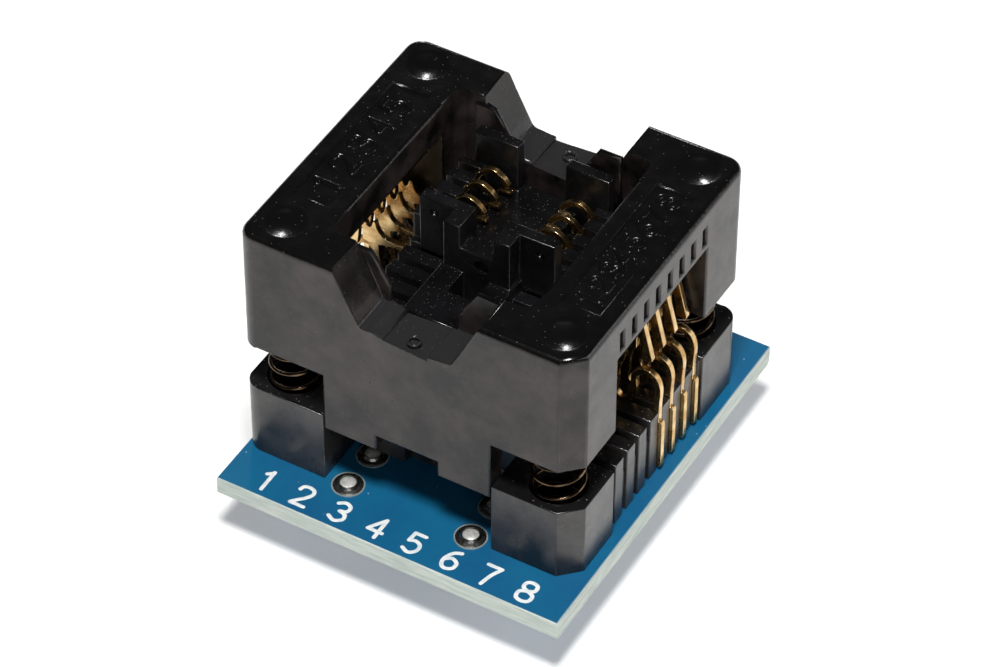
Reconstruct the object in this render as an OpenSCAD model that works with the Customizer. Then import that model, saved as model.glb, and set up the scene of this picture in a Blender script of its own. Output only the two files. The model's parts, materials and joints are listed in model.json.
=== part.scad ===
// Open-top test socket for a narrow eight-lead chip, soldered on a pin adapter board.
// Millimetres, +Z up. The origin lies under the middle of the board, level with the pin tips.
// The board's front edge faces -Y. The loaded contacts sit in the back positions of both rows.

/* [Board] */
// Width of the board, along X
board_w = 21; // [20.4:0.1:26]
// Length of the board, along Y
board_l = 24; // [20:0.5:30]
// Thickness of the board
board_t = 1.6; // [0.8:0.1:2.4]
// Thickness of the tinned pads
pad_t = 0.05; // [0.03:0.01:0.1]
// Outer diameter of the pads round the pins
pad_d = 1.85; // [1.6:0.05:2.2]
// Outer diameter of the pads round the contact tails
tail_pad_d = 1.1; // [1:0.02:1.2]
// Height of the solder round the contact tails
tail_solder_h = 0.5; // [0.3:0.05:0.7]

/* [Header pins] */
// Distance between neighbouring pins of a row
pin_pitch = 2.54; // [2:0.02:2.6]
// Distance between the two rows of pins
pin_row_gap = 7.62; // [6:0.02:8.4]
// Number of pins in each row
pins_per_row = 4; // [2:1:4]
// Distance from the board's front edge to the first pin
pin_front = 3.11; // [2:0.01:4]
// Diameter of the round leg below the board
pin_d = 0.5; // [0.4:0.02:0.6]
// Length of the leg below the board
pin_drop = 2.7; // [2:0.1:4]
// Diameter of the barrel in the board
pin_head_d = 0.92; // [0.8:0.02:1.1]
// Height of the barrel above the board
pin_rise = 0.3; // [0.2:0.02:0.4]
// Diameter of the collar under the board
collar_d = 1.35; // [1.2:0.05:1.6]
// Thickness of the collar
collar_t = 0.4; // [0.3:0.05:0.6]
// Height of the solder on the pads
solder_h = 0.22; // [0.1:0.02:0.3]

/* [Body] */
// Width of the socket, along X
body_w = 20.4; // [20:0.1:21]
// Length of the socket, along Y
body_l = 18.2; // [17.8:0.1:19.5]
// Leg of the chamfer on the front right upright corner
corner_cut = 1.1; // [0.6:0.05:1.3]
// Radius of the other three upright corners
corner_r = 1; // [0.7:0.05:1.2]
// Distance between neighbouring contact positions
pitch = 1.27; // [1.2:0.01:1.3]
// Number of contact positions on each side
positions = 8; // [4:1:8]
// Number of positions that hold a contact, counted from the back
loaded = 4; // [1:1:4]

/* [Base] */
// Width of a corner post, along X
post_w = 5.05; // [4.8:0.05:5.2]
// Length of a corner post, along Y
post_l = 4.2; // [4:0.05:4.3]
// Height of the posts above the board
post_h = 4.75; // [4.4:0.05:5.5]
// Step from the post tops down to the rib tops
rib_step = 0.35; // [0.2:0.05:0.6]
// Depth of the ribs on each side, along X
comb_w = 3.2; // [3:0.05:3.4]
// Step from the socket's side in to the ribs
rib_set = 0.05; // [0.02:0.01:0.1]
// Distance from the rib tops down to the contact bars
slot_drop = 0.7; // [0.6:0.05:0.8]
// Room under the floor for the pin heads
head_room = 0.3; // [0.2:0.05:0.5]
// Thickness of the floor
floor_t = 2; // [1.6:0.1:2.2]
// Length of the floor past the posts' inner faces
floor_out = 1; // [0.9:0.05:1.1]
// Width of a catch that holds the cover down
catch_w = 1.9; // [1.5:0.1:2]
// Distance from the middle to a catch
catch_x = 1.7; // [1.6:0.05:1.9]
// Thickness of a catch
catch_t = 0.55; // [0.4:0.05:0.6]
// Thickness of the pillars that carry the catches
pillar_t = 0.4; // [0.3:0.05:0.5]
// Overlap of catch and hook, along Y
catch_grip = 0.5; // [0.3:0.05:0.6]
// Gap between a hook and its catch
catch_gap = 0.05; // [0.03:0.01:0.1]

/* [Cover] */
// Gap between the posts and the cover's corners
spring_gap = 3; // [2.8:0.05:3.6]
// Height of the cover without its skirts
cover_h = 8.05; // [7.8:0.05:8.6]
// Press travel of the cover
travel = 2.5; // [1.5:0.1:2.6]
// Radius of the rounded top edges
edge_r = 0.4; // [0.2:0.05:0.6]
// Radius of the bars' inner top edges
lip_r = 0.25; // [0.1:0.05:0.4]
// Width of the open middle
opening_w = 11.9; // [11.6:0.05:12.2]
// Length of the open middle
opening_l = 13; // [12.9:0.1:13.4]
// Radius of the open middle's corners
opening_r = 0.55; // [0.3:0.05:0.6]
// Width of the front and back notches at the top
notch_top_w = 8.8; // [8:0.1:9.2]
// Width of the notches at the sill
notch_low_w = 5.5; // [5:0.1:6]
// Depth of the notches
notch_depth = 3.43; // [3:0.05:3.6]
// Radius in the notches' lower corners
notch_r = 0.4; // [0.1:0.05:0.8]
// Width of the shallow step in each sill
sill_w = 2.7; // [2:0.1:3]
// Depth of that step
sill_t = 0.25; // [0.1:0.05:0.4]
// Length of the side windows
window_l = 9.7; // [9.6:0.05:9.8]
// Height of the strip above each side window
strip_h = 2.9; // [2.7:0.05:3]
// Thickness of the bars' top plates
top_t = 1.2; // [1:0.05:1.3]
// Height of the bars' inner walls, from the top
apron_h = 2.1; // [1.8:0.05:2.3]
// Thickness of the bars' inner walls
apron_t = 0.5; // [0.4:0.05:0.7]
// Thickness of the bars' outer walls
wall_t = 1.1; // [1:0.05:1.2]
// Height of the slots in the side walls
slot_h = 1.27; // [1:0.05:1.4]
// Wall left outside the lever grooves below each slot
skin_t = 0.2; // [0.15:0.01:0.22]
// Width of a skirt
skirt_w = 10.2; // [9:0.1:10.3]
// Thickness of a skirt
skirt_t = 1.25; // [1.1:0.05:1.4]
// Length of a skirt below the cover's corners
skirt_drop = 3.9; // [3.6:0.05:4.2]
// Width of the recess in a skirt's lower edge
skirt_gap_w = 3.74; // [3:0.02:3.8]
// Height of that recess
skirt_gap_h = 1.02; // [0.8:0.02:1.2]
// Height of the hooks on the skirts
hook_h = 0.65; // [0.5:0.05:0.7]
// Length of the hooks, along Y
hook_l = 0.8; // [0.6:0.05:0.85]
// Distance from the open middle to a cam rib
cam_set = 0.95; // [0.8:0.05:1.1]
// Distance from the socket's side to a cam rib's lower edge
cam_edge = 2.1; // [2.05:0.01:2.15]
// Sideways run of a cam's face for each millimetre of height
cam_slope = 0.544; // [0.5:0.002:0.6]
// Height by which a cam rib reaches below the lever tops
cam_reach = 0.25; // [0.2:0.01:0.3]
// Diameter of the corner dimples
dimple_d = 2.6; // [1.8:0.1:2.8]
// Depth of the corner dimples
dimple_t = 0.3; // [0.2:0.05:0.7]
// Distance from the socket's side to a dimple
dimple_in_x = 1.9; // [1.85:0.05:2.2]
// Distance from the socket's front or back to a dimple
dimple_in_y = 1.9; // [1.85:0.05:2.2]
// Width of the sunk panel on each bar
panel_w = 2.3; // [2:0.1:2.5]
// Length of the sunk panel on each bar
panel_l = 10.2; // [9:0.1:10.4]
// Depth of the sunk panels
panel_t = 0.1; // [0.02:0.01:0.15]
// Width of the fins inside the front and back walls, at the top
fin_w = 1.3; // [1:0.05:1.4]
// Depth of those fins
fin_t = 0.25; // [0.2:0.05:0.35]
// Distance from the middle to the top of a left fin
fin_left = 3.5; // [3:0.05:3.8]
// Distance from the middle to the top of a right fin
fin_right = 2.8; // [2.5:0.05:3.2]
// Lean of the fins' slanted edges
fin_lean = 1.12; // [0.8:0.02:1.3]
// Step from the cover's top down to the fins
fin_drop = 0.45; // [0.3:0.05:0.7]

/* [Springs] */
// Outer diameter of a coil spring
spring_d = 3; // [2.6:0.05:3.2]
// Diameter of the spring wire
wire_d = 0.28; // [0.2:0.01:0.32]
// Number of turns, with one closed turn at each end
turns = 10; // [8:1:11]
// Room round a spring in its pockets
pocket_gap = 0.1; // [0.05:0.01:0.15]
// Depth of the pockets in the posts
pocket_depth = 3.2; // [2.5:0.1:3.6]
// Depth of the pockets in the cover
cap_depth = 2; // [1.2:0.1:3]
// Distance from the socket's side to a spring
spring_in_x = 2.15; // [2.1:0.05:2.3]
// Distance from the socket's front or back to a spring
spring_in_y = 2.05; // [2:0.05:2.15]
// Gap at the ends of a spring
seat_gap = 0.02; // [0.01:0.01:0.05]

/* [Contacts] */
// Thickness of the contact sheet
sheet_t = 0.3; // [0.2:0.01:0.36]
// Room beside the sheet in its slots
slot_gap = 0.06; // [0.04:0.01:0.08]
// Width of the spring strip
strip_w = 0.38; // [0.3:0.01:0.4]
// Width of the moving arm
arm_w = 0.36; // [0.3:0.01:0.44]
// Width of the outer leg
leg_w = 0.38; // [0.3:0.01:0.4]
// Height of the leg's lower end above the board
leg_lift = 0.25; // [0.15:0.05:0.5]
// Height of the bar that sits in the slot
bar_h = 0.8; // [0.6:0.05:0.9]
// Width of the solder tail
tail_w = 0.45; // [0.36:0.01:0.5]
// Length of the tail below the board
tail_out = 0.8; // [0.6:0.05:1.2]
// Distance from the socket's side to a tail
tail_in = 1.62; // [1.5:0.02:1.7]
// Distance from the socket's side to a pivot
pivot_in = 3; // [2.95:0.01:3.05]
// Height of a pivot above the ribs
pivot_rise = 0.9; // [0.85:0.01:0.95]
// Diameter of the pivot disc
pivot_d = 0.6; // [0.5:0.02:0.62]
// Running gap round the pivot disc
pivot_gap = 0.05; // [0.03:0.01:0.08]
// Wall of the eye round the pivot disc
eye_wall = 0.26; // [0.2:0.01:0.28]
// Height of the lever tops above the cover's lower face
lever_rise = 4.45; // [4.3:0.05:4.5]
// Turn of an arm over the full travel, in degrees
open_turn = 12; // [8:0.5:12]
// Thickness of the tail guide strips
guide_t = 0.8; // [0.5:0.05:1]
// Width of the tail guide strips
guide_w = 1.7; // [1.4:0.05:1.8]
// Distance from a post to the end of a guide strip's pocket
guide_end = 0.1; // [0.05:0.01:0.2]

/* [Nest] */
// Width of the nest
nest_w = 9.8; // [9.4:0.1:10]
// Length of the nest
nest_l = 11.6; // [11.2:0.1:11.7]
// Distance from the cover's top down to the chip seat
seat_drop = 4.4; // [4.2:0.05:4.5]
// Width of the middle of the nest, between the slots
spine_w = 4.3; // [4:0.1:4.4]
// Step from the seat down to the rib tops
nest_step = 0.7; // [0.5:0.05:0.9]
// Depth of the slots below the rib tops
nest_slot_h = 2.4; // [2:0.1:2.8]
// Height of the teeth beside the chip's place above the seat
tooth_h = 1; // [0.6:0.05:1.2]
// Width of those teeth, along X
tooth_w = 1.5; // [1.2:0.05:1.7]
// Length of the chip's place between the guide blocks, along Y
chip_l = 5.1; // [5:0.02:5.2]
// Distance from the middle to the chip's place, along Y
chip_y = 0; // [-0.05:0.01:0.05]
// Width over the guide blocks
guide_span = 8.2; // [7.8:0.1:8.4]
// Height of the guide blocks above the seat
guide_h = 3.1; // [2.6:0.05:3.3]
// Thickness of the guide blocks, along Y
block_t = 0.72; // [0.6:0.01:0.74]
// Gap between the two front guide blocks
block_gap = 2; // [1.6:0.1:2.4]
// Distance by which the back guide blocks stand further out than the front ones
block_set = 0.45; // [0.3:0.05:0.6]
// Length of the lugs in front of the front guide blocks
lug_l = 1.1; // [0.8:0.05:1.3]
// Width of those lugs
lug_w = 1; // [0.7:0.05:1.2]
// Height of the ledge between the lugs above the seat
ledge_h = 1.6; // [1.2:0.05:2]
// Width of the square hole in the platform
hole_w = 1.54; // [1:0.02:1.8]
// Length of the square hole
hole_l = 1.65; // [1.2:0.05:1.8]
// Depth of the square hole
hole_t = 2; // [1:0.1:3]
// Diameter of the pegs under the nest
peg_d = 1.2; // [0.8:0.1:1.4]
// Length of the pegs
peg_l = 1.2; // [0.8:0.1:1.4]
// Distance from the middle to a peg, along Y
peg_y = 4.2; // [3.8:0.1:4.6]
// Room under a peg
peg_room = 0.1; // [0.05:0.05:0.3]
// Running gap round pegs, barrels and other loose fits
fit_gap = 0.05; // [0.03:0.01:0.06]

/* [Hidden] */
$fn = 48;
eps = 0.05;
hw = body_w / 2;
hl = body_l / 2;
// The socket's left face is flush with the board's left edge
body_x = (body_w - board_w) / 2;

// Levels
board_low = pin_drop;
board_top = board_low + board_t;
post_top = board_top + post_h;
rib_top = post_top - rib_step;
floor_low = board_top + pin_rise + head_room;
floor_top = floor_low + floor_t;
cover_low = post_top + spring_gap;
cover_top = cover_low + cover_h;
skirt_low = cover_low - skirt_drop;
window_top = cover_top - strip_h;
plate_low = cover_top - top_t;
seat_z = cover_top - seat_drop;
comb_z = seat_z - nest_step;
bar_top = rib_top - slot_drop;
bar_low = bar_top - bar_h;
hook_top = skirt_low + hook_h;
catch_low = hook_top + catch_gap;
pivot_x = hw - pivot_in;
pivot_z = rib_top + pivot_rise;

// Plan sizes that several pieces share
comb_in = hw - comb_w;
comb_out = hw - rib_set;
comb_half = hl - post_l;
slot_w = sheet_t + 2 * slot_gap;
spring_x = hw - spring_in_x;
spring_y = hl - spring_in_y;
pocket_r = spring_d / 2 + pocket_gap;
tail_x = hw - tail_in;
guide_y = comb_half - guide_end;
hook_y = hl - skirt_t - hook_l;
catch_y = hook_y + catch_grip;
cam_in = opening_w / 2 + cam_set;
lever_top = cover_low + lever_rise;
rows = [for (i = [0:positions - 1]) (i - (positions - 1) / 2) * pitch];
live = [for (i = [positions - loaded:positions - 1]) rows[i]];
pin_y = [for (k = [0:pins_per_row - 1]) pin_front - board_l / 2 + k * pin_pitch];
// Pins are numbered along the left row from the back, then along the right row from the front
pin_xy = concat(
    [for (k = [pins_per_row - 1:-1:0]) [-pin_row_gap / 2, pin_y[k]]],
    [for (k = [0:pins_per_row - 1]) [pin_row_gap / 2, pin_y[k]]]);
corners = [[-1, -1, "front_left"], [1, -1, "front_right"], [-1, 1, "back_left"], [1, 1, "back_right"]];
sides = [[-1, "left"], [1, "right"]];

// Smooth curve through hand-chosen points, n steps between neighbours
function spline(p, i, t) =
    let (a = p[max(i - 1, 0)], b = p[i], c = p[i + 1], d = p[min(i + 2, len(p) - 1)])
    0.5 * (2 * b + (c - a) * t + (2 * a - 5 * b + 4 * c - d) * t * t + (3 * b - a - 3 * c + d) * t * t * t);
function smooth(p, n) =
    concat([for (i = [0:len(p) - 2]) for (k = [0:n - 1]) spline(p, i, k / n)], [p[len(p) - 1]]);
function across(p, i) =
    let (v = p[min(i + 1, len(p) - 1)] - p[max(i - 1, 0)])
    [-v[1], v[0]] / norm(v);
// Outline of a strip of width w that follows the path p
function strip(p, w) = concat(
    [for (i = [0:len(p) - 1]) p[i] + across(p, i) * w / 2],
    [for (i = [len(p) - 1:-1:0]) p[i] - across(p, i) * w / 2]);
// Outline with its corners rounded: each point is [x, y, radius]
function flat2(p) = [p[0], p[1]];
function corner(p, a, b, r, n) =
    let (u = (a - p) / norm(a - p), v = (b - p) / norm(b - p), half = acos(u * v) / 2)
    let (c = p + (u + v) / norm(u + v) * r / sin(half))
    let (s = p + u * r / tan(half) - c, e = p + v * r / tan(half) - c)
    let (a0 = atan2(s[1], s[0]), da = (atan2(e[1], e[0]) - a0 + 900) % 360 - 180)
    [for (k = [0:n]) c + r * [cos(a0 + da * k / n), sin(a0 + da * k / n)]];
function rounded(p, n = 5) = [
    for (i = [0:len(p) - 1])
        let (q = flat2(p[i]), a = flat2(p[(i + len(p) - 1) % len(p)]), b = flat2(p[(i + 1) % len(p)]))
        each (p[i][2] > 0 ? corner(q, a, b, p[i][2], n) : [q])];

// A box between two corners
module span(a, b) {
    translate(a) cube(b - a);
}

// Places what is drawn for the right side of the socket on either side
module on_side(s) {
    translate([body_x, 0, 0]) {
        if (s > 0) children();
        else mirror([1, 0, 0]) children();
    }
}

// Repeats what is drawn for +X and +Y in all four corners
module four_ways() {
    for (sx = [0, 1]) for (sy = [0, 1]) mirror([sx, 0, 0]) mirror([0, sy, 0]) children();
}

// Stands an outline drawn in X and Z upright, with its thickness along Y
module upright(t) {
    rotate([90, 0, 0]) linear_extrude(t, center = true) children();
}

// The socket's plan outline, set in by d: one corner is cut and three are rounded
function plan(d) =
    let (x = hw - d, y = hl - d, c = corner_cut - d * (2 - sqrt(2)), r = corner_r - d)
    rounded([[-x, -y, r], [x - c, -y, 0], [x, c - y, 0], [x, y, r], [-x, y, r]], 9);

// Block of height h over the plan outline, with rounded top edges, as rings of points
module round_block(h) {
    rings = concat([[0, 0]], [for (a = [0:15:90]) [h - edge_r * (1 - sin(a)), edge_r * (1 - cos(a))]]);
    n = len(plan(0));
    m = len(rings) - 1;
    points = [for (ring = rings) for (p = plan(ring[1])) [p[0], p[1], ring[0]]];
    skin = [for (k = [0:m - 1]) for (i = [0:n - 1])
        [k * n + i, (k + 1) * n + i, (k + 1) * n + (i + 1) % n, k * n + (i + 1) % n]];
    low = [for (i = [0:n - 1]) i];
    high = [for (i = [n - 1:-1:0]) m * n + i];
    polyhedron(points, concat([low], skin, [high]), 4);
}

module circuit_board() {
    color("steelblue") difference() {
        span([-board_w / 2, -board_l / 2, board_low], [board_w / 2, board_l / 2, board_top]);
        for (p = pin_xy) {
            translate([body_x + p[0], p[1], board_low - eps])
                cylinder(d = pin_head_d + 2 * fit_gap, h = board_t + 2 * eps);
        }
        for (s = [-1, 1]) for (y = rows) {
            translate([body_x + s * tail_x, y, board_low - eps])
                cylinder(d = tail_w + 8 * fit_gap, h = board_t + 2 * eps);
        }
    }
}

// Flat ring with its lower face at z
module pad(x, y, z, d, hole) {
    translate([x, y, z]) difference() {
        cylinder(d = d, h = pad_t);
        translate([0, 0, -eps]) cylinder(d = hole, h = pad_t + 2 * eps);
    }
}

module board_pads() {
    color("silver") {
        for (p = pin_xy) pad(body_x + p[0], p[1], board_top, pad_d, pin_head_d + 2 * fit_gap);
        for (s = [-1, 1]) for (y = rows) {
            pad(body_x + s * tail_x, y, board_low - pad_t, tail_pad_d, tail_w + 8 * fit_gap);
        }
    }
}

module pin_solder() {
    low = board_top + pad_t;
    r0 = pin_head_d / 2 + 0.01;
    r1 = pad_d / 2 - 0.08;
    color("dimgray") for (p = pin_xy) translate([body_x + p[0], p[1], 0]) rotate_extrude()
        polygon([[r0, low], [r1, low], [r1 - 0.06, low + 0.05], [r0 + 0.14, low + 0.4 * solder_h],
                 [r0 + 0.04, low + solder_h], [r0, low + solder_h]]);
}

module tail_solder() {
    h = tail_solder_h;
    x1 = tail_w / 2 + 0.01;
    y1 = sheet_t / 2 + 0.01;
    color("silver") for (s = [-1, 1]) for (y = live) {
        translate([body_x + s * tail_x, y, board_low - pad_t - h]) difference() {
            cylinder(d1 = tail_w + 0.2, d2 = tail_pad_d - 0.06, h = h);
            span([-x1, -y1, -h], [x1, y1, 2 * h]);
        }
    }
}

module header_pin(k) {
    r = pin_d / 2;
    collar_low = board_low - collar_t;
    color("silver") translate([body_x + pin_xy[k][0], pin_xy[k][1], 0]) rotate_extrude()
        polygon([[0, 0], [r * 0.6, 0], [r, 0.35], [r, collar_low], [collar_d / 2, collar_low],
                 [collar_d / 2, board_low], [pin_head_d / 2, board_low],
                 [pin_head_d / 2, board_top + pin_rise - 0.08],
                 [pin_head_d / 2 - 0.08, board_top + pin_rise], [0, board_top + pin_rise]]);
}

// Corner posts in plan
module post_plan() {
    intersection() {
        polygon(plan(0));
        four_ways() translate([hw - post_w, hl - post_l]) square([post_w, post_l]);
    }
}

module socket_base() {
    pillar_y = comb_half + floor_out + pillar_t / 4;
    catch_end = catch_x + catch_w;
    color("#1c1c1f") translate([body_x, 0, 0]) difference() {
        union() {
            translate([0, 0, board_top]) linear_extrude(post_h) post_plan();
            four_ways() {
                span([comb_in, 0, board_top], [comb_out, comb_half + eps, rib_top]);
                span([catch_x, pillar_y - pillar_t, floor_low], [catch_end, pillar_y + pillar_t, floor_top]);
                span([catch_x, pillar_y, floor_low], [catch_end, pillar_y + pillar_t, catch_low + catch_t]);
                span([catch_x, pillar_y, catch_low], [catch_end, catch_y, catch_low + catch_t]);
            }
            span([-comb_in - eps, -comb_half - floor_out, floor_low],
                 [comb_in + eps, comb_half + floor_out, floor_top]);
        }
        four_ways() translate([spring_x, spring_y, post_top - pocket_depth])
            cylinder(r = pocket_r, h = pocket_depth + eps);
        // Room for the pads and their solder wherever a post stands over them
        for (p = pin_xy) translate([p[0], p[1], board_top - eps])
            cylinder(d = pad_d + 2 * fit_gap, h = pin_rise + head_room / 2 + eps);
        for (s = [0, 1]) mirror([s, 0, 0]) {
            for (y = rows) {
                y0 = y - slot_w / 2;
                y1 = y + slot_w / 2;
                span([comb_in - 0.3, y0, bar_low - eps], [hw + eps, y1, rib_top + eps]);
                span([comb_out - leg_w - slot_gap, y0, board_top - eps], [hw + eps, y1, bar_top]);
                span([tail_x - tail_w / 2 - slot_gap, y0, board_top - eps],
                     [tail_x + tail_w / 2 + slot_gap, y1, bar_top]);
            }
            span([tail_x - guide_w / 2 - fit_gap, -guide_y, board_top - eps],
                 [tail_x + guide_w / 2 + fit_gap, guide_y, board_top + guide_t + fit_gap]);
        }
        for (s = [-1, 1]) translate([0, s * peg_y, floor_top - peg_l - peg_room])
            cylinder(d = peg_d + 2 * fit_gap, h = peg_l + peg_room + eps);
    }
}

module tail_guide(s) {
    color("#26262a") on_side(s) difference() {
        span([tail_x - guide_w / 2, -guide_y + fit_gap, board_top],
             [tail_x + guide_w / 2, guide_y - fit_gap, board_top + guide_t]);
        for (y = rows) {
            span([tail_x - tail_w / 2 - slot_gap, y - slot_w / 2, board_top - eps],
                 [tail_x + tail_w / 2 + slot_gap, y + slot_w / 2, board_top + guide_t + eps]);
        }
    }
}

module chip_nest() {
    x1 = nest_w / 2;
    y1 = nest_l / 2;
    sx = spine_w / 2;
    block_z = seat_z + guide_h;
    front = chip_y - block_t;
    lug_y = front - lug_l;
    color("#232327") translate([body_x, 0, 0]) {
        difference() {
            union() {
                span([-x1, -y1, floor_top], [x1, y1, comb_z]);
                span([-sx, -y1, floor_top], [sx, y1, seat_z]);
                for (s = [0, 1]) mirror([s, 0, 0]) {
                    span([block_gap / 2, front, floor_top], [guide_span / 2, chip_y, block_z]);
                    span([block_gap / 2, lug_y, floor_top], [block_gap / 2 + lug_w, chip_y, block_z]);
                    span([block_gap / 2 + block_set, chip_y + chip_l, floor_top],
                         [guide_span / 2, y1, block_z]);
                    span([x1 - tooth_w, chip_y - eps, floor_top], [x1, chip_y + chip_l + eps, seat_z + tooth_h]);
                }
                span([-block_gap / 2 - eps, lug_y, floor_top],
                     [block_gap / 2 + eps, front + block_t / 6, seat_z + ledge_h]);
            }
            // The slots of the loaded places run up past the guide blocks
            for (s = [0, 1]) mirror([s, 0, 0]) for (y = rows) {
                span([sx, y - slot_w / 2, comb_z - nest_slot_h],
                     [x1 + eps, y + slot_w / 2, y > chip_y ? block_z + nest_slot_h : comb_z]);
            }
            span([-hole_w / 2, lug_y - hole_l, seat_z - hole_t], [hole_w / 2, lug_y, seat_z + eps]);
            translate([0.3, lug_y - eps, seat_z + ledge_h / 2]) rotate([-90, 0, 0])
                cylinder(r = 0.45, h = 0.35);
            for (s = [-1, 1]) translate([s * (guide_span / 2 - 0.9), front, seat_z + 2.2]) sphere(r = 0.28);
        }
        for (s = [-1, 1]) translate([0, s * peg_y, floor_top - peg_l]) cylinder(d = peg_d, h = peg_l + eps);
    }
}

// Side view of the cam rib that pushes the levers outward as the cover goes down
module cam_view() {
    low = lever_top - cam_reach;
    polygon([[cam_in, low], [hw - cam_edge, low], [hw - wall_t, low + (cam_edge - wall_t) / cam_slope],
             [hw - wall_t + eps, plate_low + eps], [cam_in, plate_low + eps]]);
}

// Side view of a front or back notch
module notch_view() {
    sill = cover_top - notch_depth;
    rise = (notch_top_w - notch_low_w) / 2 / notch_depth;
    x2 = notch_top_w / 2 + rise;
    polygon(rounded([[-x2, cover_top + 1, 0], [-notch_low_w / 2, sill, notch_r],
                     [notch_low_w / 2, sill, notch_r], [x2, cover_top + 1, 0]]));
}

module cover() {
    ow = opening_w / 2;
    ol = opening_l / 2;
    wl = window_l / 2;
    wall_in = hw - wall_t;
    color("#18181a") translate([body_x, 0, 0]) {
        difference() {
            union() {
                translate([0, 0, cover_low]) round_block(cover_h);
                for (s = [0, 1]) mirror([0, s, 0]) difference() {
                    span([-skirt_w / 2, hl - skirt_t, skirt_low], [skirt_w / 2, hl, cover_low + eps]);
                    span([-skirt_gap_w / 2, hl - skirt_t - 1, skirt_low - eps],
                         [skirt_gap_w / 2, hl + 1, skirt_low + skirt_gap_h]);
                }
                four_ways() span([catch_x + 0.25, hook_y, skirt_low],
                                 [catch_x + catch_w + 0.15, hl - skirt_t + eps, hook_top]);
            }
            translate([0, 0, cover_low - eps]) linear_extrude(cover_h + 2 * eps) polygon(rounded([
                [-ow, -ol, opening_r], [ow, -ol, opening_r], [ow, ol, opening_r], [-ow, ol, opening_r]]));
            difference() {
                span([-ow - lip_r, -wl, cover_top - lip_r], [ow + lip_r, wl, cover_top + eps]);
                for (s = [-1, 1]) translate([s * (ow + lip_r), -wl - eps, cover_top - lip_r])
                    rotate([-90, 0, 0]) cylinder(r = lip_r, h = window_l + 2 * eps);
            }
            upright(body_l + 2) notch_view();
            span([-sill_w / 2, -hl - 1, cover_top - notch_depth - sill_t], [sill_w / 2, hl + 1, cover_top]);
            for (s = [0, 1]) mirror([s, 0, 0]) {
                span([ow - eps, -wl, cover_low - eps], [hw + eps, wl, window_top]);
                span([ow - eps, -wl, window_top - eps], [wall_in, wl, plate_low]);
                // Each place has its slot, its groove and, where the window ends short of it, its own channel
                for (y = rows) {
                    y0 = y - slot_w / 2;
                    y1 = y + slot_w / 2;
                    span([wall_in - eps, y0, window_top - eps], [hw - skin_t, y1, plate_low]);
                    span([wall_in - eps, y0, plate_low - slot_h], [hw + eps, y1, plate_low]);
                    span([ow - 2 * eps, y0, cover_low - 2 * eps], [wall_in - eps, y1, plate_low - eps]);
                    span([wall_in - 2 * eps, y0, cover_low - 2 * eps], [hw + 2 * eps, y1, window_top - eps]);
                }
                span([spring_x - panel_w / 2, -panel_l / 2, cover_top - panel_t],
                     [spring_x + panel_w / 2, panel_l / 2, cover_top + eps]);
            }
            four_ways() {
                translate([spring_x, spring_y, cover_low - eps]) cylinder(r = pocket_r, h = cap_depth + eps);
                translate([hw - dimple_in_x, hl - dimple_in_y, cover_top - dimple_t]) dimple();
            }
        }
        for (s = [0, 1]) mirror([s, 0, 0]) {
            upright(window_l + 2 * eps) cam_view();
            span([ow, -wl - eps, cover_top - apron_h], [ow + apron_t, wl + eps, plate_low + eps]);
        }
        for (t = [0, 1]) mirror([0, t, 0]) translate([0, ol - fin_t / 2 + eps / 2, 0]) {
            upright(fin_t + eps) fin_view(-1, fin_left);
            upright(fin_t + eps) fin_view(1, fin_right);
        }
    }
}

// Side view of a fin that stands beside a notch, with its slanted edge towards the middle
module fin_view(s, x) {
    top = cover_top - fin_drop;
    low = cover_top - notch_depth - sill_t - 0.2;
    polygon([[s * x, top], [s * (x + fin_w), top], [s * (x + fin_w), low],
             [s * (x - fin_lean), low], [s * (x - fin_lean), top - 2.05]]);
}

// Shallow round hollow, cut by a ball whose lowest point lies at the origin
module dimple() {
    r = (dimple_d * dimple_d / 4 + dimple_t * dimple_t) / (2 * dimple_t);
    translate([0, 0, r]) sphere(r = r);
}

// Coil with one closed turn at each end, as rings of points along the wire
coil_low = post_top - pocket_depth + seat_gap;
coil_high = cover_low + cap_depth - seat_gap;
coil_step = 14;
coil_sides = 6;
function coil_z(t) =
    let (a = coil_low + wire_d / 2, b = coil_high - wire_d / 2)
    let (rise = (b - a - 2 * wire_d) / (turns - 2))
    t < 1 ? a + wire_d * t : t > turns - 1 ? b - wire_d * (turns - t) : a + wire_d + rise * (t - 1);
function coil_ring(t) = [
    for (k = [0:coil_sides - 1])
        let (r = spring_d / 2 - wire_d / 2 + wire_d / 2 * cos(360 * k / coil_sides))
        [r * cos(360 * t), r * sin(360 * t), coil_z(t) + wire_d / 2 * sin(360 * k / coil_sides)]];

module spring(c) {
    n = turns * coil_step;
    m = coil_sides;
    points = [for (i = [0:n]) each coil_ring(i / coil_step)];
    skin = [for (i = [0:n - 1]) for (k = [0:m - 1])
        [i * m + k, i * m + (k + 1) % m, (i + 1) * m + (k + 1) % m, (i + 1) * m + k]];
    first = [for (k = [m - 1:-1:0]) k];
    last = [for (k = [0:m - 1]) n * m + k];
    color("#8a6f4d") translate([body_x + c[0] * spring_x, c[1] * spring_y, 0])
        polyhedron(points, concat([first], skin, [last]), 4);
}

// Middle line of the spring strip, from the leg over the arch and down to the pivot
leg_path = smooth([
    [hw - 0.29, bar_top - 0.3], [hw - 0.26, bar_top + 1.1], [hw - 0.25, pivot_z + 0.75],
    [hw - 0.6, pivot_z + 1.42], [hw - 1.3, pivot_z + 1.58], [hw - 1.83, pivot_z + 1.02],
    [hw - 1.82, pivot_z + 0.2], [hw - 2, pivot_z - 0.65], [pivot_x + 0.45, pivot_z - 1.12],
    [pivot_x, pivot_z - 0.75], [pivot_x, pivot_z]], 6);

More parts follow.
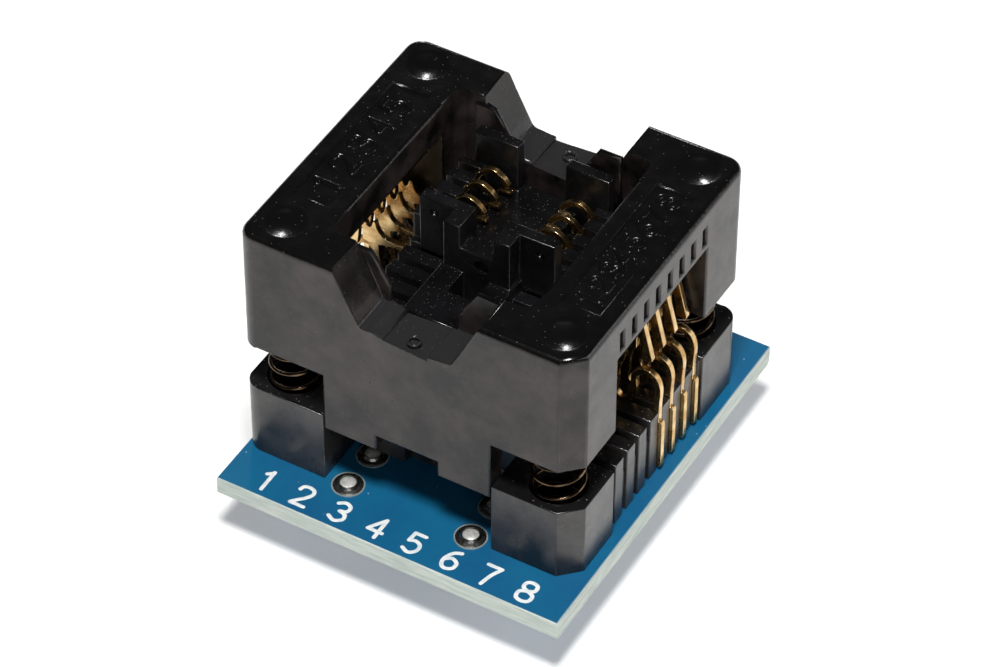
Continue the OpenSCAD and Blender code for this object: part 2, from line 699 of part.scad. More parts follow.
// Middle line of the moving arm, from the head plate to the hooked tip
arm_path = smooth([
    [pivot_x + 0.1, pivot_z + 3.5], [hw - 4, pivot_z + 3.42], [hw - 4.9, pivot_z + 3.7],
    [spine_w / 2 + 2.4, seat_z - 1.35], [spine_w / 2 + 1.8, seat_z - 0.1],
    [spine_w / 2 + 1.15, seat_z + 1.08], [spine_w / 2 + 0.5, seat_z + 1.49],
    [spine_w / 2 - 0.1, seat_z + 1.25], [spine_w / 2 - 0.53, seat_z + 0.74]], 6);

module contact_leg(s, i) {
    color("#c8a04a") on_side(s) translate([0, live[i - 1], 0]) union() {
        upright(sheet_t) translate([comb_out - leg_w, board_top + leg_lift])
            square([leg_w, bar_low + 0.4 - board_top - leg_lift]);
        upright(sheet_t) translate([comb_out - 2.6, bar_low]) square([2.6, bar_h]);
        upright(sheet_t) translate([tail_x - tail_w / 2, board_low - tail_out])
            square([tail_w, bar_low + 0.3 - board_low + tail_out]);
        upright(sheet_t) polygon(strip(leg_path, strip_w));
        upright(sheet_t) translate([pivot_x, pivot_z]) circle(d = pivot_d);
    }
}

module contact_arm(s, i) {
    eye_in = pivot_d / 2 + pivot_gap;
    eye_out = eye_in + eye_wall;
    z = pivot_z;
    neck = smooth([[pivot_x, z + eye_out - 0.13], [pivot_x + 0.12, z + 1.3], [pivot_x + 0.36, z + 2.1],
                   [pivot_x + 0.44, z + 2.9], [pivot_x + 0.46, z + 3.3]], 5);
    color("#d8b25c") on_side(s) translate([0, live[i - 1], 0]) union() {
        upright(sheet_t) translate([pivot_x, z]) difference() {
            circle(r = eye_out);
            circle(r = eye_in);
            polygon([[0, 0], [-2 * sin(65), -2 * cos(65)], [0, -3], [2 * sin(65), -2 * cos(65)]]);
        }
        upright(sheet_t) polygon(strip(neck, arm_w));
        upright(sheet_t) polygon(rounded([
            [pivot_x - 0.3, z + 3.3, 0], [pivot_x + 0.25, z + 3.02, 0], [hw - 1.81, z + 3.05, 0.1],
            [hw - 1.81, z + 3.95, 0.12], [hw - 1.5, z + 3.95, 0.12], [hw - 1.38, z + 2.45, 0.12],
            [hw - 0.8, z + 2.45, 0.15], [hw - 1.36, z + 5, 0], [hw - 1.68, lever_top, 0.1],
            [hw - 2, lever_top, 0.1], [hw - 1.98, z + 4.15, 0.12], [hw - 2.34, z + 4.15, 0.12],
            [hw - 2.48, z + 4.65, 0.06], [hw - 2.64, z + 4.65, 0.06], [hw - 2.8, z + 3.85, 0.4],
            [pivot_x - 0.5, z + 3.62, 0]]));
        upright(sheet_t) polygon(strip(arm_path, arm_w));
        upright(sheet_t) translate(arm_path[len(arm_path) - 1]) circle(d = arm_w);
    }
}

circuit_board();
board_pads();
pin_solder();
tail_solder();
socket_base();
tail_guide(-1);  // tail_guide_left
tail_guide(1);  // tail_guide_right
chip_nest();
cover();
for (k = [1:len(pin_xy)]) header_pin(k - 1);
for (c = corners) spring(c);
for (s = sides) for (i = [1:loaded]) {
    contact_leg(s[0], i);
    contact_arm(s[0], i);
}
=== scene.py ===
"""Looks of an open-top test socket on a pin adapter board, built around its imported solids."""

import json
import logging
import math
from dataclasses import dataclass
from enum import Enum
from functools import cache, partial
from typing import Any, Callable, Sequence

import bmesh
import bpy
import numpy as np
from mathutils import Matrix, Vector


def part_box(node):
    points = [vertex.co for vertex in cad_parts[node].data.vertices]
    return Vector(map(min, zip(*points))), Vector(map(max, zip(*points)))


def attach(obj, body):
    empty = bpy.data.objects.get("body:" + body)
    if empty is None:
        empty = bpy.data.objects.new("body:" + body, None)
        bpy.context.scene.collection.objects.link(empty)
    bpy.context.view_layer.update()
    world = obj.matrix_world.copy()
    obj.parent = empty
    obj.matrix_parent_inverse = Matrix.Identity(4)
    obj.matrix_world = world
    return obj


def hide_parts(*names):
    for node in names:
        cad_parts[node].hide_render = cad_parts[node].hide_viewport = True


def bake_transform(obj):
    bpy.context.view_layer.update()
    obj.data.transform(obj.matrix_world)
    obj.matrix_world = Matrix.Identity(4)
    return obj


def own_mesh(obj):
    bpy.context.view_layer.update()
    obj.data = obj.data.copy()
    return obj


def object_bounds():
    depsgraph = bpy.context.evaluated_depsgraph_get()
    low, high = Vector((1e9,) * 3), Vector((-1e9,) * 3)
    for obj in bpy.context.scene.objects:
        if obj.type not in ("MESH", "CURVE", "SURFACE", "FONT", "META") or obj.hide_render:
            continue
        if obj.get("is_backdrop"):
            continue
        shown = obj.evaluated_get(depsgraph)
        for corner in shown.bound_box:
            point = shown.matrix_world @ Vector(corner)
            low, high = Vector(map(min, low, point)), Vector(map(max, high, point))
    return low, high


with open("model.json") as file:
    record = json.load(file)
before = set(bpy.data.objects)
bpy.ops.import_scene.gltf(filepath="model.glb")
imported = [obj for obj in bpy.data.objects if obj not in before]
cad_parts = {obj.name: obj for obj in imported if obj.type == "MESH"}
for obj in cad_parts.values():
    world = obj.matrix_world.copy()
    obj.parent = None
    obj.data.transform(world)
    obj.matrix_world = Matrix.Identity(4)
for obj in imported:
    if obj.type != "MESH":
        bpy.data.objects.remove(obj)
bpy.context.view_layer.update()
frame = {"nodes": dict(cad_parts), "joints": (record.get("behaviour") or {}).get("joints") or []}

MM = 0.001
Piece = bpy.types.Object
Array = np.ndarray
Adder = Callable[..., Any]
Span = tuple[float, float]
Outline = tuple[tuple[float, float], ...]
NODES: dict[str, Piece] = frame["nodes"]
JOINTS: dict[str, dict] = {joint["name"]: joint for joint in frame["joints"]}
ROOT = "board_and_base"
PRESS = "press_cover"
log = logging.getLogger("socket")


class Side(Enum):
    """The two long sides of the socket, with the sign of their X direction."""

    LEFT = -1
    RIGHT = 1


class Kind(Enum):
    """Shader nodes that the finishes and the studio use: the type of each, and an option with its value."""

    COORDINATES = ("TexCoord",)
    NOISE = ("TexNoise",)
    CELLS = ("TexVoronoi",)
    WAVES_X = ("TexWave", "bands_direction", "X")
    WAVES_Y = ("TexWave", "bands_direction", "Y")
    STRETCH = ("Mapping",)
    AXES = ("SeparateXYZ",)
    RANGE = ("MapRange",)
    SIZE = ("Math", "operation", "ABSOLUTE")
    PRODUCT = ("Math", "operation", "MULTIPLY")
    LARGER = ("Math", "operation", "MAXIMUM")
    IS_BELOW = ("Math", "operation", "LESS_THAN")
    # Two numbers as inputs 2 and 3, mixed by input 0
    NUMBERS = ("Mix", "data_type", "FLOAT")
    # Two colours as inputs 6 and 7, mixed by input 0 to output 2
    TONES = ("Mix", "data_type", "RGBA")
    BUMP = ("Bump",)
    RAYS = ("LightPath",)
    SURFACE = ("BsdfPrincipled",)
    MATERIAL = ("OutputMaterial",)
    ROOM = ("Background",)
    WORLD = ("OutputWorld",)


# Colour and nodes


def linear(code: str) -> tuple[float, float, float, float]:
    """Turns an sRGB hex code into a linear colour with full alpha.

    Args:
        code: Colour such as "#1b6583".

    Returns:
        Red, green, blue and alpha, linear.
    """
    parts = [int(code[i:i + 2], 16) / 255 for i in (1, 3, 5)]
    red, green, blue = (p / 12.92 if p <= 0.04045 else ((p + 0.055) / 1.055) ** 2.4 for p in parts)
    return red, green, blue, 1.0


def per_metre(size_mm: float) -> float:
    """Returns the texture scale at which one feature is size_mm long."""
    return 1 / (size_mm * MM)


def add_node(tree: bpy.types.NodeTree, kind: Kind, inputs: dict | Sequence = ()) -> Any:
    """Adds one node, sets its option and fills or links its inputs.

    Args:
        tree: Node tree that takes the node.
        kind: Type and option of the node.
        inputs: Values, or the outputs that feed them, in order or by the input's name or number.

    Returns:
        The outputs of the node, by name or number.
    """
    name, *option = kind.value
    node = tree.nodes.new("ShaderNode" + name)
    if option:
        setattr(node, *option)
    for key, value in inputs.items() if isinstance(inputs, dict) else enumerate(inputs):
        if isinstance(value, bpy.types.NodeSocket):
            tree.links.new(value, node.inputs[key])
        else:
            node.inputs[key].default_value = value
    return node.outputs


def scattered_dots(add: Adder, spot: Any, cell_mm: float, radius_mm: float, core: float, share: float) -> Any:
    """Dots round the points of some of the cells that fill space, fading from their core outward.

    Args:
        add: Adds a node to the material.
        spot: Output with the place on the piece.
        cell_mm: Size of a cell.
        radius_mm: Radius of a dot.
        core: Share of the radius inside which a dot is full.
        share: Share of the cells that have a dot.

    Returns:
        The output that is 1 in a dot and 0 beside it.
    """
    cells = add(Kind.CELLS, {"Vector": spot, "Scale": per_metre(cell_mm)})
    reach = radius_mm / cell_mm
    dot = add(Kind.RANGE, [cells["Distance"], reach, reach * core])[0]
    pick = add(Kind.AXES, [cells["Color"]])["X"]
    chosen = add(Kind.IS_BELOW, [pick, share])[0]
    return add(Kind.PRODUCT, [dot, chosen])[0]


# Finishes


@dataclass(frozen=True)
class Finish:
    """A finish, named for its material and process. Each kind adds the nodes of its own surface."""

    name: str

    def surface(self, add: Adder) -> dict[str, Any]:
        """Adds the nodes of the surface.

        Args:
            add: Adds a node to the material.

        Returns:
            Inputs of the Principled surface.
        """
        raise NotImplementedError

    @cache
    def material(self) -> bpy.types.Material:
        """Builds the material, once for each finish.

        Returns:
            The material, with the finish's own nodes before a Principled surface.
        """
        material = bpy.data.materials.new(self.name)
        material.use_nodes = True
        material.node_tree.nodes.clear()
        add = partial(add_node, material.node_tree)
        shader = add(Kind.SURFACE, self.surface(add))
        add(Kind.MATERIAL, {"Surface": shader[0]})
        return material


@dataclass(frozen=True)
class MouldedPlastic(Finish):
    """Glass-filled engineering plastic, injection moulded, satin.

    The eye sees a black body. Its upright faces mirror the pale table and turn grey, and their colour carries
    a
    painted reflection of the table: a paler tone in clouds where the melt flowed. Its upper faces mirror the
    dark room and stay black, with painted glints of the moulded grain as small bright dots in the skin.
    """

    dark: str = "#0b0a0a"
    # Paler tone of upright faces, in clouds: a painted reflection of the pale table
    painted_sheen: str = "#3c3432"
    upper: str = "#0e0d0e"
    painted_glint: str = "#5c5b58"
    # Rise of the normal over which an upright face becomes an upper one
    upper_rise: Span = (0.25, 0.6)
    cloud_mm: float = 2.6
    cloud_span: Span = (0.4, 0.66)
    # Upper faces below this height are rougher moulded and look paler
    sill_mm: float = 0.0
    sill_blend_mm: float = 0.1
    sill: str = "#2c2b2c"
    # Painted glints: real glints of the grain are finer than this, which is as fine as the render shows
    painted_glint_mm: float = 0.2
    painted_glint_r_mm: float = 0.034
    painted_glint_core: float = 0.6
    painted_glint_share: float = 0.22
    # Share of the painted glints' brightness that upright faces show
    side_painted_glint: float = 0.4
    rough: Span = (0.26, 0.36)
    upper_rough: Span = (0.15, 0.24)
    # Worn patches are this many times finer than the clouds
    worn_finer: float = 3
    worn_span: Span = (0.3, 0.7)
    index: float = 1.5
    grain_mm: float = 0.22
    grain_depth_mm: float = 0.011
    # Strength of the grain on upright faces and on upper ones
    grain_strength: Span = (0.25, 0.9)

    def surface(self, add: Adder) -> dict[str, Any]:
        """Adds painted sheen clouds to upright faces, painted glint dots in some cells, uneven gloss and a
        grain.

        Args:
            add: Adds a node to the material.

        Returns:
            Inputs of the Principled surface.
        """
        where = add(Kind.COORDINATES)
        spot = where["Object"]
        rise = add(Kind.AXES, [where["Normal"]])["Z"]
        upper = add(Kind.RANGE, [rise, *self.upper_rise])[0]
        flow = add(Kind.NOISE, {"Vector": spot, "Scale": per_metre(self.cloud_mm), "Detail": 8,
                                "Roughness": 0.62})[0]
        cloud = add(Kind.RANGE, [flow, *self.cloud_span])[0]
        # Painted reflection: upright faces take the paler tone, in clouds, for the pale table that they
        # mirror
        side = add(Kind.TONES, {0: cloud, 6: linear(self.dark), 7: linear(self.painted_sheen)})[2]
        top = add(Kind.TONES, {0: cloud, 6: linear(self.dark), 7: linear(self.upper)})[2]
        height = add(Kind.AXES, [spot])["Z"]
        sunk = add(Kind.RANGE, [height, self.sill_mm * MM, (self.sill_mm - self.sill_blend_mm) * MM])[0]
        top = add(Kind.TONES, {0: sunk, 6: top, 7: linear(self.sill)})[2]
        body = add(Kind.TONES, {0: upper, 6: side, 7: top})[2]
        # Painted glints: bright dots in some cells, full on upper faces and weaker on upright ones
        painted_glints = scattered_dots(add, spot, self.painted_glint_mm, self.painted_glint_r_mm, self.painted_glint_core, self.painted_glint_share)
        facing = add(Kind.RANGE, [upper, 0, 1, self.side_painted_glint, 1])[0]
        shown = add(Kind.PRODUCT, [painted_glints, facing])[0]
        colour = add(Kind.TONES, {0: shown, 6: body, 7: linear(self.painted_glint)})[2]
        fine = per_metre(self.cloud_mm / self.worn_finer)
        worn = add(Kind.NOISE, {"Vector": spot, "Scale": fine, "Detail": 4})[0]
        dull = add(Kind.RANGE, [worn, *self.worn_span, *self.rough])[0]
        shiny = add(Kind.RANGE, [worn, *self.worn_span, *self.upper_rough])[0]
        rough = add(Kind.NUMBERS, {0: upper, 2: dull, 3: shiny})[0]
        grain = add(Kind.NOISE, {"Vector": spot, "Scale": per_metre(self.grain_mm), "Detail": 3})[0]
        strength = add(Kind.RANGE, [upper, 0, 1, *self.grain_strength])[0]
        normal = add(Kind.BUMP, {"Height": grain, "Distance": self.grain_depth_mm * MM,
                                 "Strength": strength})[0]
        return {"Base Color": colour, "Roughness": rough, "IOR": self.index, "Normal": normal}


@dataclass(frozen=True)
class SolderMask(Finish):
    """Blue solder mask, screen coated over woven glass board that is sawn at its edges.

    The eye sees an even satin blue with a faint weave and a little dust, and pale fibrous layers on the cut
    edges.
    """

    blue: str = "#0f688f"
    deep: str = "#0d5a86"
    dust: str = "#b9d2dc"
    sawn: str = "#d9e0d8"
    resin: str = "#bcc9c1"
    # Rise of the normal, up or down, over which a sawn edge becomes a coated face
    mask_rise: Span = (0.5, 0.8)
    tone_mm: float = 3.5
    tone_span: Span = (0.3, 0.7)
    dust_mm: float = 0.6
    dust_r_mm: float = 0.042
    dust_core: float = 0.5
    dust_share: float = 0.32
    layer_mm: float = 0.16
    layer_long: float = 9.0
    layer_span: Span = (0.35, 0.65)
    # Roughness of the sawn edge and of the mask
    rough: Span = (0.75, 0.38)
    index: float = 1.5
    weave_mm: float = 0.6
    weave_depth_mm: float = 0.01

    def surface(self, add: Adder) -> dict[str, Any]:
        """Adds mask and dust on the flat faces, sawn layers on the upright ones, and a weave.

        Args:
            add: Adds a node to the material.

        Returns:
            Inputs of the Principled surface.
        """
        where = add(Kind.COORDINATES)
        spot = where["Object"]
        rise = add(Kind.AXES, [where["Normal"]])["Z"]
        flat = add(Kind.SIZE, [rise])[0]
        is_mask = add(Kind.RANGE, [flat, *self.mask_rise])[0]
        drift = add(Kind.NOISE, {"Vector": spot, "Scale": per_metre(self.tone_mm), "Detail": 4})[0]
        tone = add(Kind.RANGE, [drift, *self.tone_span])[0]
        clean = add(Kind.TONES, {0: tone, 6: linear(self.deep), 7: linear(self.blue)})[2]
        dusty = scattered_dots(add, spot, self.dust_mm, self.dust_r_mm, self.dust_core, self.dust_share)
        mask = add(Kind.TONES, {0: dusty, 6: clean, 7: linear(self.dust)})[2]
        drawn = add(Kind.STRETCH, {"Vector": spot, "Scale": (1, 1, self.layer_long)})[0]
        long = per_metre(self.layer_mm * self.layer_long)
        fibre = add(Kind.NOISE, {"Vector": drawn, "Scale": long, "Detail": 4})[0]
        layer = add(Kind.RANGE, [fibre, *self.layer_span])[0]
        sawn = add(Kind.TONES, {0: layer, 6: linear(self.resin), 7: linear(self.sawn)})[2]
        colour = add(Kind.TONES, {0: is_mask, 6: sawn, 7: mask})[2]
        rough = add(Kind.RANGE, [is_mask, 0, 1, *self.rough])[0]
        # A wave of scale 1 has a period of 2 pi / 20
        waves = {"Vector": spot, "Scale": per_metre(self.weave_mm) * math.pi / 10, "Distortion": 0.6}
        threads = [add(kind, waves)[1] for kind in (Kind.WAVES_X, Kind.WAVES_Y)]
        weave = add(Kind.PRODUCT, threads)[0]
        normal = add(Kind.BUMP, {"Height": weave, "Distance": self.weave_depth_mm * MM, "Strength": 0.25})[0]
        return {"Base Color": colour, "Roughness": rough, "IOR": self.index, "Normal": normal}


@dataclass(frozen=True)
class PatchedSkin(Finish):
    """A thin skin of two tones in patches, with a fine grain."""

    full: str
    faint: str
    # Of the full tone and of the faint one, or of both
    rough: Span | float = (0.2, 0.32)
    metallic: float = 1.0
    patch_mm: float = 0.9
    patch_span: Span = (0.38, 0.68)
    patch_detail: float = 3
    grain_mm: float = 0.12
    grain_depth_mm: float = 0.0015

    def surface(self, add: Adder) -> dict[str, Any]:
        """Adds the patches, which may also set the gloss, and the grain.

        Args:
            add: Adds a node to the material.

        Returns:
            Inputs of the Principled surface.
        """
        spot = add(Kind.COORDINATES)["Object"]
        drift = add(Kind.NOISE, {"Vector": spot, "Scale": per_metre(self.patch_mm),
                                 "Detail": self.patch_detail})[0]
        patch = add(Kind.RANGE, [drift, *self.patch_span])[0]
        colour = add(Kind.TONES, {0: patch, 6: linear(self.full), 7: linear(self.faint)})[2]
        rough = self.rough
        if isinstance(rough, tuple):
            rough = add(Kind.RANGE, [patch, 0, 1, *rough])[0]
        grain = add(Kind.NOISE, {"Vector": spot, "Scale": per_metre(self.grain_mm), "Detail": 2})[0]
        normal = add(Kind.BUMP, {"Height": grain, "Distance": self.grain_depth_mm * MM})[0]
        return {"Base Color": colour, "Metallic": self.metallic, "Roughness": rough, "Normal": normal}


class PlatedMetal(PatchedSkin):
    """Stamped, drawn or turned metal with a plated skin.

    The eye sees a tinted satin mirror, dark where it mirrors the socket's inside, with slow, duller patches.
    """


class ScreenInk(PatchedSkin):
    """Screen-printed epoxy ink: the eye sees a matt, patchy white that lets a little blue through."""


@dataclass(frozen=True)
class FloorPaper(Finish):
    """Matt white paper. The eye, and a mirror, sees it lifted to white, with the part's shadow."""

    colour: str = "#f4f4f2"
    rough: float = 0.9
    index: float = 1.3
    lift: float = 0.25

    def surface(self, add: Adder) -> dict[str, Any]:
        """Adds a glow that only the camera and mirrors see.

        Args:
            add: Adds a node to the material.

        Returns:
            Inputs of the Principled surface.
        """
        rays = add(Kind.RAYS)
        seen = rays["Is Camera Ray"]
        for ray in ("Is Glossy Ray", "Is Transmission Ray"):
            seen = add(Kind.LARGER, [seen, rays[ray]])[0]
        glow = add(Kind.PRODUCT, [seen, self.lift])[0]
        return {"Base Color": linear(self.colour), "Roughness": self.rough, "IOR": self.index,
                "Emission Color": linear("#ffffff"), "Emission Strength": glow}


# In each plastic the paler upright tone is a painted reflection and the bright dots are painted glints
COVER_PLASTIC = MouldedPlastic("moulded_cover_plastic", sill_mm=17.5, index=1.46)
BASE_PLASTIC = MouldedPlastic("moulded_base_plastic", dark="#131212", painted_sheen="#3e3a39", upper="#1a1a1c",
                              painted_glint="#8a8987", painted_glint_share=0.4, index=1.6)
NEST_PLASTIC = MouldedPlastic("moulded_nest_plastic", painted_sheen="#1c1c1e", upper="#151517", painted_glint="#6f6e6b",
                              painted_glint_mm=0.15, painted_glint_r_mm=0.026, painted_glint_share=0.45)
FIGURE_PLASTIC = MouldedPlastic("moulded_figures_worn_glossy", rough=(0.14, 0.2), upper_rough=(0.12, 0.18),
                                painted_glint_share=0.0)
GUIDE_PLASTIC = MouldedPlastic("moulded_guide_plastic", dark="#141416", painted_glint_share=0.1)
BOARD_MASK = SolderMask("solder_mask_on_glass_board")
BOARD_INK = ScreenInk("screen_printed_ink", "#f1f4f2", "#cfdde2", rough=0.6, metallic=0, patch_mm=0.35,
                      patch_span=(0.45, 0.75), patch_detail=4, grain_mm=0.1, grain_depth_mm=0.006)
CONTACT_GOLD = PlatedMetal("gold_plated_copper_alloy", "#e3c48f", "#bb9258", grain_depth_mm=0.0006)
SPRING_WIRE = PlatedMetal("drawn_spring_wire", "#6f5b46", "#33281f", rough=(0.12, 0.2))
PIN_TIN = PlatedMetal("tin_plated_turned_brass", "#dcdbd6", "#b0afaa", rough=(0.4, 0.55), metallic=0.35,
                      patch_mm=0.25, grain_depth_mm=0.006)
PAD_TIN = PlatedMetal("hot_tinned_copper", "#ccd3cf", "#9fa9a5", rough=(0.4, 0.55), metallic=0.6)
PIN_SOLDER = PlatedMetal("reflowed_solder", "#a9aaa6", "#5a5753", rough=(0.22, 0.42), patch_mm=0.22,
                         grain_depth_mm=0.004)


# Meshes

# Angles in degrees above which an edge stays sharp, on a sheet and on a small round form
SHEET_CREASE = 35
ROUND_CREASE = 60
# A stroke's end starts at this angle of its quarter circle and has this many steps
STROKE_END = 0.15
STROKE_STEPS = 5
# Each stroke is this much lower than the one before, so that crossings stay clean
STROKE_DROP = 0.0015
# Points closer than this are joined, and so are those this close to a cut
WELD_MM = 0.001
CUT_MM = 0.0001
# Neighbours that turn by fewer degrees than this are one face
FLAT_TURN = 0.5
# Points this close to a face lie on it
ON_FACE_MM = 0.01
# An edge is a corner of a moulding from this many degrees and from this length
CORNER_TURN = 28
CORNER_MM = 0.3
# Most of a face's depth that one rounding takes
DEPTH_SHARE = 0.4


def add_object(name: str, data: bpy.types.ID) -> Piece:
    """Makes an object and puts it in the scene.

    Args:
        name: Name of the object.
        data: Its mesh, lamp or camera.

    Returns:
        The object, at the origin.
    """
    thing = bpy.data.objects.new(name, data)
    bpy.context.scene.collection.objects.link(thing)
    return thing


def new_piece(name: str, points: Array, faces: Sequence, crease: float = SHEET_CREASE) -> Piece:
    """Makes a mesh object from points in millimetres, smooth except at creases.

    Args:
        name: Name of the piece.
        points: Points as rows of x, y, z in millimetres.
        faces: Point numbers of each face, turning left seen from outside.
        crease: Angle in degrees above which an edge stays sharp.

    Returns:
        The object, at the origin.
    """
    mesh = bpy.data.meshes.new(name)
    mesh.from_pydata((points * MM).tolist(), [], [list(face) for face in faces])
    mesh.polygons.foreach_set("use_smooth", np.ones(len(mesh.polygons), bool))
    mesh.set_sharp_from_angle(angle=math.radians(crease))
    mesh.update()
    return add_object(name, mesh)


def ring_faces(rows: int, columns: int, first: int = 0, loop: bool = False) -> list[list[int]]:
    """Returns the quads between rings of points, closed by one face at either end.

    Args:
        rows: Number of rings.
        columns: Points in each ring.
        first: Number of the first point.
        loop: Whether the last ring joins the first instead.

    Returns:
        Point numbers of each face.
    """
    ring, point = np.meshgrid(np.arange(rows if loop else rows - 1), np.arange(columns), indexing="ij")
    after, ahead = (point + 1) % columns, (ring + 1) % rows
    quads = np.stack([ring * columns + point, ring * columns + after,
                      ahead * columns + after, ahead * columns + point], -1).reshape(-1, 4) + first
    last = first + (rows - 1) * columns
    caps = [list(range(first + columns - 1, first - 1, -1)), list(range(last, last + columns))]
    return quads.tolist() + ([] if loop else caps)


def smooth_path(points: Sequence[Sequence[float]], steps: int) -> Array:
    """Curve through given points: each stretch is a cubic that leaves along its neighbours' chord.

    Args:
        points: Points of the path.
        steps: Number of steps on each stretch.

    Returns:
        The path's points as rows.
    """
    p = np.asarray(points, float)
    padded = np.vstack([p[:1], p, p[-1:]])
    t = np.linspace(0, 1, steps, endpoint=False)[None, :, None]
    a, b, c, d = (padded[k:len(p) - 1 + k, None, :] for k in range(4))
    curve = 0.5 * (2 * b + (c - a) * t + (2 * a - 5 * b + 4 * c - d) * t ** 2
                   + (3 * b - a - 3 * c + d) * t ** 3)
    return np.vstack([curve.reshape(-1, p.shape[1]), p[-1:]])


def left_of(path: Array) -> Array:
    """Normals to the left of a flat path: its direction, turned by a quarter.

    Args:
        path: Points of the path as rows.

    Returns:
        One unit normal for each point.
    """
    along = np.gradient(path, axis=0)
    along /= np.linalg.norm(along, axis=1, keepdims=True)
    return np.stack([-along[:, 1], along[:, 0]], 1)


def beside(path: Array, distance: float) -> Array:
    """Returns the path moved to its left by distance, each point along its own normal."""
    return path + distance * left_of(path)


def round_end(centre: Array, start: Array, steps: int = 8) -> Array:
    """Half circle round centre that begins at start and turns right.

    Args:
        centre: Centre of the half circle.
        start: First point on it.
        steps: Number of steps.

    Returns:
        The points between the two ends, as rows.
    """
    angle = -np.linspace(0, np.pi, steps + 1)[1:-1]
    arm = start - centre
    return centre + np.stack([arm[0] * np.cos(angle) - arm[1] * np.sin(angle),
                              arm[0] * np.sin(angle) + arm[1] * np.cos(angle)], 1)


def slab(name: str, outline: Array, low: float, high: float) -> Piece:
    """Upright sheet: an outline is carried along Y and closed by a face at either end.

    Args:
        name: Name of the piece.
        outline: Outline as rows of x and z, in millimetres.
        low: Y at which the sheet begins.
        high: Y at which it ends.

    Returns:
        The object.
    """
    x, z = outline.T
    turns_left = np.sum(x * np.roll(z, -1) - np.roll(x, -1) * z) > 0
    ring = outline[::-1] if turns_left else outline
    both = np.vstack([ring, ring])
    points = np.stack([both[:, 0], np.repeat([low, high], len(ring)), both[:, 1]], 1)
    return new_piece(name, points, ring_faces(2, len(ring)))


def ridges(name: str, paths: Sequence[Array], width: float, low: float, rise: float,
           sides: int = 9) -> Piece:
    """Rounded strokes: half an ellipse carried along each path, shrinking along a quarter circle at the ends.

    Args:
        name: Name of the piece.
        paths: Paths of the strokes, as rows of x and y in millimetres.
        width: Width of a stroke.
        low: Level that the strokes stand on.
        rise: Height of the first stroke.
        sides: Points across a stroke.

    Returns:
        The object.
    """
    across = np.linspace(0, np.pi, sides)
    end = np.sin(np.linspace(STROKE_END, np.pi / 2, STROKE_STEPS)[:-1])
    tail = np.sqrt(1 - end ** 2)[:, None]
    points, faces, first = [], [], 0
    for k, path in enumerate(paths):
        run = np.diff(path[[0, 1, -2, -1]], axis=0)[[0, 2]]
        run *= width / 2 / np.linalg.norm(run, axis=1, keepdims=True)
        whole = np.vstack([path[0] - tail * run[0], path, path[-1] + tail[::-1] * run[1]])
        size = np.concatenate([end, np.ones(len(path)), end[::-1]])
        reach = (size[:, None] * np.cos(across) * width / 2)[..., None]
        flat = whole[:, None, :] + reach * left_of(whole)[:, None, :]
        level = low + (rise - STROKE_DROP * k) * size[:, None] * np.sin(across)
        points.append(np.concatenate([flat, level[..., None]], -1).reshape(-1, 3))
        faces += ring_faces(len(whole), sides, first)
        first += len(whole) * sides
    return new_piece(name, np.vstack(points), faces, ROUND_CREASE)


def turned(name: str, profile: Array, centre: Sequence[float], sides: int = 32) -> Piece:
    """Turned piece: a profile of radius and height carried round an upright axis.

    Args:
        name: Name of the piece.
        profile: Radius and height from the lowest end to the highest, in millimetres.
        centre: X and Y of the axis.
        sides: Points round the axis.

    Returns:
        The object.
    """
    angle = 2 * np.pi * np.arange(sides) / sides
    radius, height = profile[:, :1], profile[:, 1:]
    x, y = centre[0] + radius * np.cos(angle), centre[1] + radius * np.sin(angle)
    points = np.stack([x, y, np.broadcast_to(height, x.shape)], -1).reshape(-1, 3)
    return new_piece(name, points, ring_faces(len(profile), sides))


def round_edges(piece: Piece, width_mm: float, method: str, **settings: Any) -> None:
    """Rounds edges of a piece by a bevel of two steps.

    Args:
        piece: Piece to finish.
        width_mm: Width of the rounding.
        method: How the bevel picks its edges.
        settings: Further options of the bevel, by attribute name.
    """
    bevel = piece.modifiers.new("soft_edges", "BEVEL")
    bevel.width = width_mm * MM
    bevel.segments = 2
    bevel.limit_method = method
    bevel.use_clamp_overlap = False
    for name, value in settings.items():
        setattr(bevel, name, value)


def joined_copy(node: str, name: str, levels: Sequence[float] = ()) -> bpy.types.Mesh:
    """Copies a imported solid, joins its loose triangles and dissolves the edges inside flat faces.

    Args:
        node: Name of the solid.
        name: Name of the copy.
        levels: Heights in millimetres at which the copy's faces are cut across.

    Returns:
        The new mesh.
    """
    work = bmesh.new()
    work.from_mesh(NODES[node].data)
    bmesh.ops.remove_doubles(work, verts=work.verts, dist=WELD_MM * MM)
    bmesh.ops.dissolve_limit(work, angle_limit=math.radians(FLAT_TURN), verts=work.verts, edges=work.edges)
    for level in levels:
        bmesh.ops.bisect_plane(work, geom=work.verts[:] + work.edges[:] + work.faces[:], dist=CUT_MM * MM,
                               plane_co=(0, 0, level * MM), plane_no=(0, 0, 1))
    mesh = bpy.data.meshes.new(name)
    work.to_mesh(mesh)
    work.free()
    return mesh


def fetch(items: bpy.types.bpy_prop_collection, name: str, kind: type, width: int = 1) -> Array:
    """Reads one property of every item.

    Args:
        items: Points, edges, faces or face corners of a mesh.
        name: Name of the property.
        kind: Type of its numbers.
        width: How many numbers it has.

    Returns:
        The property as an array, in rows where it has more than one number.
    """
    values = np.empty(len(items) * width, kind)
    items.foreach_get(name, values)
    return values if width == 1 else values.reshape(-1, width)


